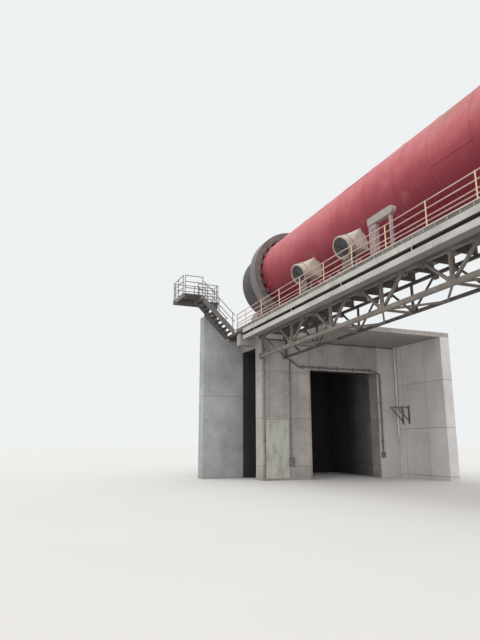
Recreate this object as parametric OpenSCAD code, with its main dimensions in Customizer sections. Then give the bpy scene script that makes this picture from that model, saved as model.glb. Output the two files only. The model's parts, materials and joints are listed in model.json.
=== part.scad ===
// Discharge end of a rotary kiln on two concrete piers, with the fan walkway along its yard side.
// X runs up the kiln, Y away from the yard, Z up. The origin is on the ground under the kiln axis,
// at the centre of the foot of the second pier.

/* [Kiln] */
// Outer diameter of the kiln shell
shell_d = 4400; // [4200:50:4900]
// Thickness of the shell plate
shell_wall = 60; // [40:5:90]
// Height of the kiln axis over the ground at the front of the first pier
axis_z = 12060; // [11900:10:12400]
// Fall of the kiln towards its discharge end, in millimetres per metre
fall = 20; // [10:1:30]
// Length of the old shell from the front of the first pier to its discharge end
shell_out = 3400; // [3200:50:3800]
// Length of the old shell past the second support
shell_past = 4000; // [2500:100:6000]
// Length of the new shell section at the discharge end
section_l = 1600; // [1200:50:2200]
// Distance between the two supports
support_pitch = 26000; // [24000:500:28000]

/* [Tyres and rollers] */
// Thickness of the pads between the shell and the tyres
pad_t = 110; // [90:5:150]
// Radial thickness of the tyres
tyre_t = 390; // [340:10:400]
// Width of the tyres
tyre_w = 750; // [600:25:800]
// Number of pads between the shell and each tyre
pad_count = 24; // [16:2:30]
// Length of the pads past each side of their tyre
pad_out = 100; // [80:5:150]
// Diameter of the support rollers
roller_d = 1700; // [1500:50:1800]
// Width of the support rollers
roller_w = 850; // [820:10:900]
// Angle of each roller from straight under the kiln
roller_angle = 30; // [29:0.5:32]
// Diameter of the roller shafts
shaft_d = 480; // [360:20:520]
// Radial clearance of a roller shaft in its bearings
shaft_gap = 0.05; // [0.02:0.01:0.1]
// Gap left between a tyre and its rollers
roll_gap = 0.3; // [0.2:0.05:0.5]
// Length of a bearing along its shaft
bearing_l = 480; // [400:20:520]
// Gap between a roller's side and its bearings
bearing_gap = 20; // [10:5:30]

/* [First pier] */
// Distance from the front of the pier back to its tyre
pier_1_set = 2300; // [2000:50:2600]
// Depth of the pier along the kiln
pier_1_depth = 7200; // [6600:100:8000]
// Yard side of the pier from the kiln axis
pier_yard = 3200; // [3150:10:3300]
// Far side of the pier from the kiln axis
pier_far = 5600; // [5300:50:6000]
// Thickness of the pier's walls
wall_t = 800; // [500:50:900]
// Height of the top of the pier
pier_top = 7500; // [7450:10:7600]
// Thickness of the pier's roof slab
slab_t = 450; // [350:10:500]
// Yard side of the doorway from the kiln axis
door_yard = 240; // [0:20:600]
// Far side of the doorway from the kiln axis
door_far = 4230; // [3600:50:4500]
// Height of the doorway
door_h = 5880; // [4500:60:6300]
// Width of the side opening between the front wall and the column
side_gap = 1860; // [1700:20:2000]

/* [Column and stair] */
// Width of the column that stands out from the pier's yard side
column_w = 2380; // [2200:20:2500]
// Thickness of the column along the kiln
column_t = 730; // [650:10:800]
// Height of the upper landing over the walkway's end
stair_rise = 2000; // [1900:10:2100]
// Number of treads in the stair
tread_count = 9; // [9:1:10]
// Level distance from one tread to the next
tread_going = 210; // [200:5:230]
// Width of the stair
stair_w = 1100; // [900:20:1150]
// Length of the upper landing past the head of the stair
landing_out = 1200; // [1000:50:1500]

/* [Walkway] */
// Outer edge of the walkway from the kiln axis
walk_outer = 4200; // [4150:10:4300]
// Width of the walkway
walk_w = 2450; // [2300:50:2550]
// Height of the walkway's deck at the front of the first pier
deck_z = 8000; // [7950:10:8100]
// Thickness of the deck plate
deck_t = 30; // [20:5:40]
// Height of each of the two edge beams
edge_h = 220; // [180:10:260]
// Height of the slot between the two edge beams
edge_slot = 150; // [100:10:180]
// Width of the edge beams, seen from below
girder_w = 400; // [300:20:440]
// Height of the kerb over the deck
kerb_h = 150; // [100:10:180]
// Height of the handrail over the deck
rail_h = 1050; // [950:10:1150]
// Diameter of the rails
rail_d = 44; // [34:2:60]
// Distance between handrail posts
post_pitch = 2050; // [1500:50:2500]

/* [Truss] */
// Height of the truss between its chord centres
truss_h = 1120; // [1000:20:1200]
// Distance between the lower joints of the truss
joint_pitch = 3550; // [3000:50:4000]
// Length of a brace along the truss
brace_run = 1300; // [1100:50:1450]
// Side of the outer truss's chords
chord_s = 160; // [120:10:180]
// Side of the outer truss's posts and braces
brace_s = 100; // [70:5:120]
// Side of the inner truss's chords
inner_chord = 110; // [100:5:140]
// Side of the inner truss's posts and braces
inner_brace = 70; // [60:5:90]
// Set-back of the outer truss from the walkway's edge
truss_set = 980; // [900:20:1040]

/* [Fans] */
// Number of cooling fans on the walkway
fan_count = 2; // [1:1:2]
// Distance of the first fan from the front of the first pier
fan_first = 5080; // [4700:20:5400]
// Distance from one fan to the next
fan_pitch = 3690; // [3500:10:3900]
// Diameter of a fan's round inlet
fan_d = 930; // [800:10:960]
// Length of the round inlet
fan_l = 300; // [260:10:340]
// Depth from the rim of a fan's inlet back to its guard
inlet_depth = 60; // [30:10:100]
// Length of the casing that goes over from round to square
casing_l = 570; // [500:10:620]
// Length of the tapered nozzle
nozzle_l = 400; // [300:10:450]
// Width of the nozzle's outlet
outlet_w = 420; // [360:10:480]
// Upward tilt of the fans
fan_tilt = 24; // [15:1:28]
// Turn of the fans towards the discharge end
fan_turn = 6; // [0:1:8]
// Height of a fan's inlet centre over the deck
fan_up = 1500; // [1400:10:1550]

/* [Cabinet] */
// Distance of the cabinet's portal from the front of the first pier
cabinet_at = 10780; // [10600:20:11000]
// Width of the portal along the walkway, its round end counted
canopy_w = 1480; // [1300:20:1600]
// Height of the portal over the deck
canopy_h = 1890; // [1800:10:2000]
// Depth of the portal's head
canopy_d = 180; // [160:10:240]
// Width of the cabinet along the walkway
cabinet_w = 300; // [240:10:400]
// Depth of the cabinet
cabinet_d = 140; // [100:10:150]
// Height of the cabinet
cabinet_h = 1560; // [1400:10:1560]

/* [Second pier] */
// Length of the second pier along the kiln
pier_2_l = 4000; // [3800:100:4600]
// Length of the corbel that carries the walkway's far end
corbel_l = 700; // [500:50:900]

/* [Hidden] */
$fn = 96;

seat = 0.3;
cut = 50;
slope = atan(fall / 1000);
front_x = pier_1_set - support_pitch;

shell_r = shell_d / 2;
shell_l = shell_out + support_pitch - pier_1_set + shell_past;
tyre_in = shell_r + pad_t;
tyre_r = tyre_in + tyre_t;
pad_lip = 80;
pad_gap = 1;
pad_turn = 360 / pad_count * 0.45;

roller_r = roller_d / 2;
roller_reach = tyre_r + roller_r + roll_gap;
roller_y = roller_reach * sin(roller_angle);
roller_drop = roller_reach * cos(roller_angle);
roller_rim = 170;
roller_dish = 120;
shaft_r = shaft_d / 2;
shaft_end = 30;
bearing_x = roller_w / 2 + bearing_gap + bearing_l / 2;
bearing_wall = 170;
bearing_r = shaft_r + bearing_wall;
bearing_foot = 560;
sole_t = 90;
sole_out = 120;
frame_h = 400;
frame_past = 700;
frame_half = roller_y + bearing_r + frame_past;
frame_tie = 500;
frame_side = 220;
hub_wall = 130;
plinth_h = 300;
support_1 = -pier_1_set;
support_2 = support_pitch - pier_1_set;

pier_back = front_x - pier_1_depth;
room_front = front_x - wall_t;
column_front = room_front - side_gap;
column_back = column_front - column_t;
column_out = -pier_yard - column_w;
slab_low = pier_top - slab_t;
frame_low_1 = floor(axis_z + support_1 * sin(slope) - roller_drop - bearing_foot - frame_h);
frame_low_2 = floor(axis_z + support_2 * sin(slope) - roller_drop - bearing_foot - frame_h);
pier_2_top = frame_low_2 - plinth_h;
plinth_side = 250;

porch_out = 3900;
porch_yard = 1300;
porch_t = 250;
wing_t = 600;

girder_low = -deck_t - 2 * edge_h - edge_slot;
slot_depth = 100;
girder_bed = 2;
walk_past = 250;
walk_start = -walk_past;
pier_2_front = support_2 - pier_2_l / 2;
walk_l = pier_2_front + walk_past - walk_start;
deck_in = walk_outer - walk_w;
seat_2 = deck_z + (pier_2_front + walk_past) * sin(slope) + girder_low + girder_bed;
corbel_t = 380;
corbel_w = 1100;

pier_gap = 20;
strip_w = walk_outer - pier_yard - pier_gap;
strip_start = column_front - front_x;
strip_h = 130;
strip_bar = 60;
landing_x = room_front;
landing_l = 450;
landing_set = 80;
landing_w = walk_outer - pier_yard - landing_set;
landing_t = 650;
landing_top = floor(deck_z - deck_t - strip_h + (room_front - front_x) * sin(slope)) + girder_bed;

riser = stair_rise / (tread_count + 1);
stair_foot = -walk_outer;
stair_head = stair_foot - tread_count * tread_going;
stair_set = 160;
stair_back = column_front + stair_set;
stair_front = stair_back + stair_w;
stair_z = deck_z + (stair_back - front_x) * sin(slope);
nosing = 20;
stringer_t = 20;
stringer_h = 380;
tread_t = 35;
stair_gap = 30;
upper_z = stair_z + stair_rise;
plate_t = 40;
beam_h = 200;
beam_w = 120;
beam_set = 100;
plate_past = 60;
upper_front = stair_front + plate_past;
post_set = 200;
post_step = 500;
landing_posts = [column_out + post_set, column_out + post_set + post_step];
upper_in = column_out + post_set + post_step + beam_w + plate_past;
upper_out = stair_head - landing_out;

joist_h = 300;
joist_w = 90;
joist_pitch = post_pitch / 2;
rail_set = 120;
post_y = -walk_outer + rail_set;
first_post = 150;
post_first = walk_start + first_post;
rail_steps = [0.35, 0.5, 0.75, 1];
rail_gap = 50;
rail_start = stair_front - front_x + rail_gap;
kerb_lip = 90;
kerb_t = 30;
kerb_set = 50;
kerb_web = 12;
truss_high = -deck_t - joist_h;
tie_z = truss_high - chord_s / 2 - truss_h;
outer_y = -walk_outer + truss_set;
inner_y = -deck_in - inner_chord / 2;
end_post = 200;
bar_step = 16;
joint_first = joint_pitch;
joint_count = floor((pier_2_front - joint_pitch / 2) / joint_pitch);

fan_set = 600;
fan_y = -walk_outer + fan_set;
flange_t = 40;
flange_out = 40;
guard_gap = 30;
casing_w = fan_d;
stand_t = 60;
stand_w = 0.7 * fan_d;
stand_gap = 5;
stand_at = [200, 460];

cabinet_set = 50;
canopy_set = 450;
canopy_y = -walk_outer + canopy_set;
canopy_t = 290;
canopy_post = 100;
canopy_edge = 20;

// A box between two opposite corners
module block(low, high) {
    translate(low)
        cube(high - low);
}

// Places children in the frame that follows the kiln's fall, at a height over the front of the pier
module on_slope(z) {
    translate([front_x, 0, z])
        rotate([0, -slope, 0])
            children();
}

module tube(outer_r, inner_r, length) {
    rotate([0, 90, 0])
        difference() {
            cylinder(h = length, r = outer_r, center = true);
            cylinder(h = length + cut, r = inner_r, center = true);
        }
}

// A round bar of eight sides between two points that lie in one vertical plane along Y or X
module rail_bar(low, high, d) {
    span = high - low;
    level = norm([span[0], span[1]]);
    translate(low)
        rotate([0, atan2(level, span[2]), atan2(span[1], span[0])])
            cylinder(h = norm(span), d = d, $fn = 8);
}

// A bar between two points of one truss plane, overlapping the chords at its ends.
// Bars that meet at a joint have unequal widths, so that no two of their sides lie in one plane.
module truss_bar(from_x, from_z, to_x, to_z, side, width) {
    run = to_x - from_x;
    rise = to_z - from_z;
    translate([from_x, 0, from_z])
        rotate([0, -atan2(rise, run), 0])
            translate([0, -width / 2, -side / 2])
                cube([norm([run, rise]), width, side]);
}

// Kiln

module shell() {
    color("indianred")
        on_slope(axis_z)
            translate([shell_l / 2 - shell_out, 0, 0])
                tube(shell_r, shell_r - shell_wall, shell_l);
}

module new_section() {
    color("dimgray")
        on_slope(axis_z)
            translate([-shell_out - section_l / 2, 0, 0])
                tube(shell_r, shell_r - shell_wall, section_l);
}

module tyre(at) {
    color("slategray")
        on_slope(axis_z)
            translate([at, 0, 0])
                tube(tyre_r, tyre_in, tyre_w);
}

// The pads lie on the shell, carry the tyre and hold it between the lips at their ends
module tyre_pads(at) {
    half = tyre_w / 2 + pad_out;
    groove = tyre_w / 2 + pad_gap;
    color("gray")
        on_slope(axis_z)
            translate([at, 0, 0])
                rotate([0, 90, 0])
                    for (i = [0 : pad_count - 1])
                        rotate([0, 0, i * 360 / pad_count])
                            rotate_extrude(angle = pad_turn)
                                polygon([
                                    [shell_r + seat, -half],
                                    [tyre_in + pad_lip, -half],
                                    [tyre_in + pad_lip, -groove],
                                    [tyre_in - seat, -groove],
                                    [tyre_in - seat, groove],
                                    [tyre_in + pad_lip, groove],
                                    [tyre_in + pad_lip, half],
                                    [shell_r + seat, half]
                                ]);
}

// Supports

module at_roller(at, side) {
    on_slope(axis_z)
        translate([at, side * roller_y, -roller_drop])
            children();
}

module roller(at, side) {
    half = roller_w / 2;
    color("darkgray")
        at_roller(at, side)
            rotate([0, 90, 0]) {
                difference() {
                    cylinder(h = roller_w, r = roller_r, center = true);
                    for (end = [-1, 1])
                        translate([0, 0, end * half])
                            difference() {
                                cylinder(h = 2 * roller_dish, r = roller_r - roller_rim, center = true);
                                cylinder(h = 2 * roller_dish + cut, r = shaft_r + hub_wall, center = true);
                            }
                }
                cylinder(h = 2 * (bearing_x + bearing_l / 2 + shaft_end), r = shaft_r, center = true);
            }
}

module bearing() {
    difference() {
        union() {
            rotate([0, 90, 0])
                cylinder(h = bearing_l, r = bearing_r, center = true);
            translate([-bearing_l / 2, -bearing_r, -bearing_foot])
                cube([bearing_l, 2 * bearing_r, bearing_foot]);
            translate([-bearing_l / 2, -bearing_r - sole_out, -bearing_foot])
                cube([bearing_l, 2 * bearing_r + 2 * sole_out, sole_t]);
        }
        rotate([0, 90, 0])
            cylinder(h = bearing_l + cut, r = shaft_r + shaft_gap, center = true);
    }
}

module bearings(at) {
    color("seagreen")
        for (side = [-1, 1], end = [-1, 1])
            at_roller(at, side)
                translate([end * bearing_x, 0, 0])
                    bearing();
}

// The frame follows the kiln's fall on top and lies flat on the pier's plinth
module base_frame(at, low) {
    color("cadetblue")
        difference() {
            on_slope(axis_z)
                translate([at, 0, -roller_drop - bearing_foot - frame_h - cut]) {
                    for (end = [-1, 1])
                        translate([end * bearing_x - bearing_l / 2, -frame_half, 0])
                            cube([bearing_l, 2 * frame_half, frame_h + cut]);
                    translate([-bearing_x, -frame_tie / 2, 0])
                        cube([2 * bearing_x, frame_tie, frame_h + cut]);
                    for (side = [-1, 1])
                        translate([-bearing_x, side * (frame_half - frame_side / 2) - frame_side / 2, 0])
                            cube([2 * bearing_x, frame_side, frame_h + cut]);
                }
            block([front_x + at - 2 * bearing_x, -frame_half - cut, low - frame_h],
                  [front_x + at + 2 * bearing_x, frame_half + cut, low]);
        }
}

// First pier

module front_wall_yard() {
    color("tan")
        block([room_front, -pier_yard, 0], [front_x, -door_yard, slab_low]);
}

module front_wall_far() {
    color("tan")
        block([room_front, door_far, 0], [front_x, pier_far, slab_low]);
}

module door_lintel() {
    color("tan")
        block([room_front, -door_yard, door_h], [front_x, door_far, slab_low]);
}

module yard_wall() {
    color("tan")
        block([pier_back + wall_t, -pier_yard, 0], [column_front, -pier_yard + wall_t, slab_low]);
}

module far_wall() {
    color("tan")
        block([pier_back + wall_t, pier_far - wall_t, 0], [room_front, pier_far, slab_low]);
}

module rear_wall() {
    color("tan")
        block([pier_back, -pier_yard, 0], [pier_back + wall_t, pier_far, slab_low]);
}

module plinth(at, low, high) {
    half = bearing_x + bearing_l / 2 + plinth_side;
    block([front_x + at - half, -frame_half - plinth_side / 2, low],
          [front_x + at + half, frame_half + plinth_side / 2, high]);
}

module roof_slab() {
    color("tan") {
        block([pier_back, -pier_yard, slab_low], [front_x, pier_far, pier_top]);
        plinth(support_1, pier_top - cut, frame_low_1);
    }
}

module front_canopy() {
    color("tan")
        block([front_x - wall_t, -porch_yard, pier_top], [front_x + porch_out, pier_far + wing_t, pier_top + porch_t]);
}

module wing_wall() {
    color("tan")
        block([front_x, pier_far, 0], [front_x + porch_out, pier_far + wing_t, pier_top]);
}

// Column, stair and landings

// The height of the column's top at a distance Y, level under the walkway's end and then up with the stair
function column_top(y) = stringer_top(max(0, stair_foot - y)) - stringer_h - stair_gap;

module column() {
    color("silver")
        translate([column_back, 0, 0])
            rotate([90, 0, 90])
                linear_extrude(height = column_t)
                    polygon([
                        [column_out, 0],
                        [-pier_yard, 0],
                        [-pier_yard, column_top(stair_foot)],
                        [stair_foot, column_top(stair_foot)],
                        [column_out, column_top(column_out)]
                    ]);
}

// A concrete beam that juts out from the roof slab over the side opening, under the walkway's end
module lower_landing() {
    color("tan")
        block([landing_x - landing_l, -pier_yard - landing_w, landing_top - landing_t],
              [landing_x, -pier_yard, landing_top]);
}

// The height of the stringer's top edge at a distance up the stair
function stringer_top(run) = stair_z + riser + run * riser / tread_going;

module stringer() {
    head_run = tread_count * tread_going;
    rotate([90, 0, 90])
        linear_extrude(height = stringer_t)
            polygon([
                [stair_foot, stringer_top(0) - stringer_h],
                [stair_foot, stringer_top(0)],
                [stair_head, stringer_top(head_run)],
                [stair_head, stringer_top(head_run) - stringer_h]
            ]);
}

module stair() {
    color("gray") {
        for (x = [stair_back, stair_front - stringer_t])
            translate([x, 0, 0])
                stringer();
        for (i = [1 : tread_count])
            block([stair_back, stair_foot - i * tread_going, stair_z + i * riser - tread_t],
                  [stair_front, stair_foot - (i - 1) * tread_going + nosing, stair_z + i * riser]);
    }
}

// The posts are notched over the stringers
module stair_rails() {
    head_run = tread_count * tread_going;
    color("gray")
        for (x = [stair_back, stair_front - stringer_t])
            difference() {
                translate([x + stringer_t / 2, 0, 0]) {
                    for (part = [0.06, 0.5, 0.94])
                        translate([0, stair_foot - part * head_run, stringer_top(part * head_run)])
                            cylinder(h = rail_h - riser, d = rail_d, $fn = 8);
                    for (up = [0.52, 0.98])
                        rail_bar([0, stair_foot, stringer_top(0) + up * (rail_h - riser)],
                                 [0, stair_foot - head_run, stringer_top(head_run) + up * (rail_h - riser)], rail_d);
                }
                translate([x, 0, 0])
                    stringer();
            }
}

// The beams stand on short posts, whose feet are cut to the column's slope and seated on a thin bed
module upper_landing() {
    plate_low = upper_z - plate_t;
    beam_low = plate_low - beam_h;
    color("gray") {
        block([column_back, upper_out, plate_low], [upper_front, stair_head, upper_z]);
        block([column_back, stair_head - cut, plate_low], [column_front, upper_in, upper_z]);
        for (x = [column_back + beam_set, column_front - beam_set - beam_w]) {
            block([x, upper_out, beam_low], [x + beam_w, upper_in, plate_low]);
            for (y = landing_posts)
                translate([x, 0, 0])
                    rotate([90, 0, 90])
                        linear_extrude(height = beam_w)
                            polygon([
                                [y, column_top(y) + seat],
                                [y + beam_w, column_top(y + beam_w) + seat],
                                [y + beam_w, beam_low + beam_h / 2],
                                [y, beam_low + beam_h / 2]
                            ]);
        }
        for (y = [upper_out, stair_head - beam_w])
            block([column_front - beam_set - beam_w, y, beam_low], [upper_front, y + beam_w, plate_low]);
    }
}

// Three rails on posts, from one level point to another along X or Y
module rail_run(from, to, posts) {
    span = to - from;
    for (i = [0 : posts - 1])
        translate(from + span * i / (posts - 1))
            cylinder(h = rail_h, d = rail_d, $fn = 8);
    for (up = [1 / 3, 2 / 3, 1])
        rail_bar(from + [0, 0, up * rail_h - rail_d / 2], to + [0, 0, up * rail_h - rail_d / 2], rail_d);
}

module landing_rails() {
    edge = rail_d;
    gap = 3 * rail_d;
    color("gray") {
        rail_run([upper_front - edge, upper_out + gap, upper_z], [upper_front - edge, stair_head - edge, upper_z], 2);
        rail_run([column_back + gap, upper_out + edge, upper_z], [upper_front - gap, upper_out + edge, upper_z], 3);
        rail_run([column_back + edge, upper_out + gap, upper_z], [column_back + edge, upper_in - gap, upper_z], 3);
        rail_run([column_front - edge, stair_head + gap, upper_z], [column_front - edge, upper_in - gap, upper_z], 3);
        rail_run([column_back + edge, upper_in - edge, upper_z], [column_front - edge, upper_in - edge, upper_z], 2);
    }
}

// Walkway

module edge_girder() {
    upper_low = -deck_t - edge_h;
    lower_high = upper_low - edge_slot;
    color("lightgray")
        difference() {
            on_slope(deck_z)
                translate([walk_start, 0, 0])
                    rotate([90, 0, 90])
                        linear_extrude(height = walk_l)
                            polygon([
                                [-walk_outer, girder_low],
                                [-walk_outer + girder_w, girder_low],
                                [-walk_outer + girder_w, -deck_t],
                                [-walk_outer, -deck_t],
                                [-walk_outer, upper_low],
                                [-walk_outer + slot_depth, upper_low],
                                [-walk_outer + slot_depth, lower_high],
                                [-walk_outer, lower_high]
                            ]);
            block([front_x + pier_2_front - cut, -walk_outer - cut, seat_2 - corbel_t],
                  [front_x + pier_2_front + corbel_l, -pier_yard + cut, seat_2]);
        }
}

// A light frame that carries the strip of deck between the edge girder's end and the column
module landing_frame() {
    along = walk_start - strip_start;
    across = strip_w - 2 * strip_bar;
    count = 4;
    color("gray")
        difference() {
            on_slope(deck_z)
                translate([strip_start, -walk_outer, -deck_t - strip_h]) {
                    for (y = [0, strip_w - strip_bar])
                        translate([-cut, y, 0])
                            cube([along + cut, strip_bar, strip_h]);
                    for (i = [0 : count - 1])
                        translate([i * (along - strip_bar) / (count - 1), strip_bar, 0])
                            cube([strip_bar, across, strip_h]);
                }
            block([column_back, -walk_outer - cut, 0], [column_front, 0, 2 * deck_z]);
            block([landing_x - landing_l, -walk_outer - cut, 0], [landing_x, 0, landing_top]);
        }
}

module joists() {
    first = joist_pitch / 2;
    count = floor((pier_2_front - joist_w - first) / joist_pitch);
    color("gray")
        on_slope(deck_z)
            for (i = [0 : count])
                translate([first + i * joist_pitch, -walk_outer + girder_w, -deck_t - joist_h])
                    cube([joist_w, walk_w - girder_w, joist_h]);
}

// The walkway's deck, with the narrow strip that leads past the bearings to the stair
module deck() {
    color("gray")
        difference() {
            on_slope(deck_z) {
                translate([walk_start, -walk_outer, -deck_t])
                    cube([walk_l, walk_w, deck_t]);
                translate([strip_start - cut, -walk_outer, -deck_t])
                    cube([walk_start - strip_start + 2 * cut, strip_w, deck_t]);
            }
            block([column_back, -walk_outer - cut, 0], [column_front, 0, 2 * deck_z]);
        }
}

// A toe plate with a lip that stands out over it
module kerb() {
    color("rosybrown")
        on_slope(deck_z)
            translate([rail_start, -walk_outer, 0])
                rotate([90, 0, 90])
                    linear_extrude(height = walk_l + walk_start - rail_start)
                        polygon([
                            [0, kerb_h - kerb_t],
                            [kerb_set, kerb_h - kerb_t],
                            [kerb_set, 0],
                            [kerb_set + kerb_web, 0],
                            [kerb_set + kerb_web, kerb_h - kerb_t],
                            [kerb_lip, kerb_h - kerb_t],
                            [kerb_lip, kerb_h],
                            [0, kerb_h]
                        ]);
}

// The rails run from the stair to the second pier, with a post at each end and the others at a pitch
module handrail() {
    start = rail_start + rail_d;
    end = walk_start + walk_l - rail_d;
    count = floor((end - post_first - 4 * rail_d) / post_pitch);
    color("rosybrown")
        on_slope(deck_z)
            translate([0, post_y, 0]) {
                for (x = [start, for (i = [0 : count]) post_first + i * post_pitch, end])
                    translate([x, 0, 0])
                        cylinder(h = rail_h, d = rail_d, $fn = 8);
                for (up = rail_steps)
                    rail_bar([start, 0, up * rail_h - rail_d / 2], [end, 0, up * rail_h - rail_d / 2], rail_d);
            }
}

// A truss with posts over its lower joints and two braces from each, butted to the piers' faces
module truss(y, chord, bar) {
    high = truss_high - chord / 2;
    low = high - truss_h;
    end_x = pier_2_front + cut;
    color("gray")
        difference() {
            on_slope(deck_z)
                translate([0, y, 0]) {
                    for (z = [high, low])
                        truss_bar(-cut, z, end_x, z, chord, chord);
                    for (x = [end_post, pier_2_front - end_post])
                        truss_bar(x, low, x, high, bar, bar + bar_step);
                    for (i = [0 : joint_count - 1]) {
                        x = joint_first + i * joint_pitch;
                        truss_bar(x, low, x, high, bar, bar + bar_step);
                        truss_bar(x, low, x - brace_run, high, bar, bar);
                        truss_bar(x, low, x + brace_run, high, bar, bar - bar_step);
                    }
                    truss_bar(end_post, high, joint_first - joint_pitch / 2, low, bar, bar - bar_step);
                }
            block([front_x - truss_h, y - chord, 0], [front_x, y + chord, deck_z]);
            block([front_x + pier_2_front, y - chord, 0], [front_x + pier_2_front + truss_h, y + chord, 2 * deck_z]);
        }
}

// Level ties between the lower chords, square across at each joint and slanting between
module truss_ties() {
    gap = inner_y - outer_y - (chord_s + inner_chord) / 2;
    color("gray")
        on_slope(deck_z)
            intersection() {
                translate([0, outer_y + chord_s / 2, tie_z - inner_brace])
                    cube([pier_2_front, gap, 2 * inner_brace]);
                for (i = [0 : joint_count - 1]) {
                    x = joint_first + i * joint_pitch;
                    tie(x, x, inner_brace + bar_step);
                    if (i < joint_count - 1) {
                        tie(x, x + joint_pitch / 2, inner_brace);
                        tie(x + joint_pitch, x + joint_pitch / 2, inner_brace - bar_step);
                    }
                }
            }
}

// A flat tie from the outer chord at one distance to the inner chord at another
module tie(outer_x, inner_x, height) {
    run = inner_x - outer_x;
    reach = inner_y - outer_y;
    translate([outer_x, outer_y, tie_z])
        rotate([0, 0, atan2(reach, run)])
            translate([0, -inner_brace / 2, -height / 2])
                cube([norm([run, reach]), inner_brace, height]);
}

// Fans

module at_fans() {
    on_slope(deck_z)
        for (i = [0 : fan_count - 1])
            translate([fan_first + i * fan_pitch, fan_y, 0])
                children();
}

module tilted() {
    translate([0, 0, fan_up])
        rotate([0, 0, fan_turn])
            rotate([fan_tilt, 0, 0])
                rotate([-90, 0, 0])
                    children();
}

module fan_casings() {
    color("beige")
        at_fans()
            tilted()
                difference() {
                    union() {
                        cylinder(h = fan_l, d = fan_d);
                        cylinder(h = flange_t, d = fan_d + 2 * flange_out);
                        translate([0, 0, fan_l - flange_t])
                            cylinder(h = flange_t, d = fan_d + 2 * flange_out);
                    }
                    translate([0, 0, -cut])
                        cylinder(h = inlet_depth + cut, d = fan_d - 2 * guard_gap);
                }
}

// A square plate across the fan's axis
module square_plate(side, at) {
    translate([-side / 2, -side / 2, at])
        cube([side, side, 1]);
}

module fan_nozzles() {
    color("beige")
        at_fans()
            tilted()
                translate([0, 0, fan_l]) {
                    hull() {
                        cylinder(h = 1, d = fan_d, $fn = 32);
                        square_plate(casing_w, casing_l - 1);
                    }
                    hull() {
                        square_plate(casing_w, casing_l - 1);
                        square_plate(outlet_w, casing_l + nozzle_l - 1);
                    }
                }
}

// Each stand is a pair of plates, one under the round inlet and one under the casing behind it
module fan_stands() {
    color("gray")
        at_fans()
            difference() {
                for (y = stand_at)
                    translate([-stand_w / 2, y, 0])
                        cube([stand_w, stand_t, fan_up]);
                tilted() {
                    translate([0, 0, -fan_l])
                        cylinder(h = 2 * fan_l, r = fan_d / 2 + seat);
                    for (low = [0, fan_l - flange_t])
                        translate([0, 0, low - stand_gap])
                            cylinder(h = flange_t + 2 * stand_gap, r = fan_d / 2 + flange_out + stand_gap);
                    translate([-casing_w, -casing_w, fan_l])
                        cube([2 * casing_w, 1.5 * casing_w + seat, casing_l]);
                }
            }
}

// Cabinet under its canopy

module cabinet() {
    color("rosybrown")
        on_slope(deck_z)
            translate([cabinet_at + canopy_edge + canopy_post + cabinet_set, canopy_y + canopy_edge, 0])
                cube([cabinet_w, cabinet_d, cabinet_h]);
}

// A portal of two posts and a deep head with one round end
module cabinet_canopy() {
    round_r = canopy_t / 2;
    far_post = canopy_w - round_r - canopy_edge - canopy_post;
    color("beige")
        on_slope(deck_z)
            translate([cabinet_at, canopy_y, 0]) {
                for (x = [canopy_edge, far_post])
                    translate([x, (canopy_d - canopy_post) / 2, 0])
                        cube([canopy_post, canopy_post, canopy_h - canopy_t / 2]);
                translate([0, 0, canopy_h - canopy_t])
                    cube([canopy_w - round_r, canopy_d, canopy_t]);
                translate([canopy_w - round_r, canopy_d / 2, canopy_h - round_r])
                    rotate([90, 0, 0])
                        cylinder(h = canopy_d, r = round_r, center = true);
            }
}

// Second pier

module pier_2() {
    color("tan") {
        block([front_x + pier_2_front, -pier_yard, 0], [front_x + pier_2_front + pier_2_l, pier_yard, pier_2_top]);
        plinth(support_2, pier_2_top - cut, frame_low_2);
    }
}

module pier_2_corbel() {
    color("tan")
        block([front_x + pier_2_front, -pier_yard - corbel_w, seat_2 - corbel_t],
              [front_x + pier_2_front + corbel_l, -pier_yard, seat_2]);
}

shell();
new_section();
tyre(support_1);  // tyre_1
tyre(support_2);  // tyre_2
tyre_pads(support_1);  // tyre_pads_1
tyre_pads(support_2);  // tyre_pads_2
roller(support_1, -1);  // roller_1_yard
roller(support_1, 1);  // roller_1_far
roller(support_2, -1);  // roller_2_yard
roller(support_2, 1);  // roller_2_far
bearings(support_1);  // bearings_1
bearings(support_2);  // bearings_2
base_frame(support_1, frame_low_1);  // base_frame_1
base_frame(support_2, frame_low_2);  // base_frame_2
front_wall_yard();
front_wall_far();
door_lintel();
yard_wall();
far_wall();
rear_wall();
roof_slab();
front_canopy();
wing_wall();
column();
lower_landing();
stair();
stair_rails();
upper_landing();
landing_rails();
landing_frame();
edge_girder();
joists();
deck();
kerb();
handrail();
truss(outer_y, chord_s, brace_s);  // outer_truss
truss(inner_y, inner_chord, inner_brace);  // inner_truss
truss_ties();
fan_casings();
fan_nozzles();
fan_stands();
cabinet();
cabinet_canopy();
pier_2();
pier_2_corbel();
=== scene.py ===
import json
import math

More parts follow.
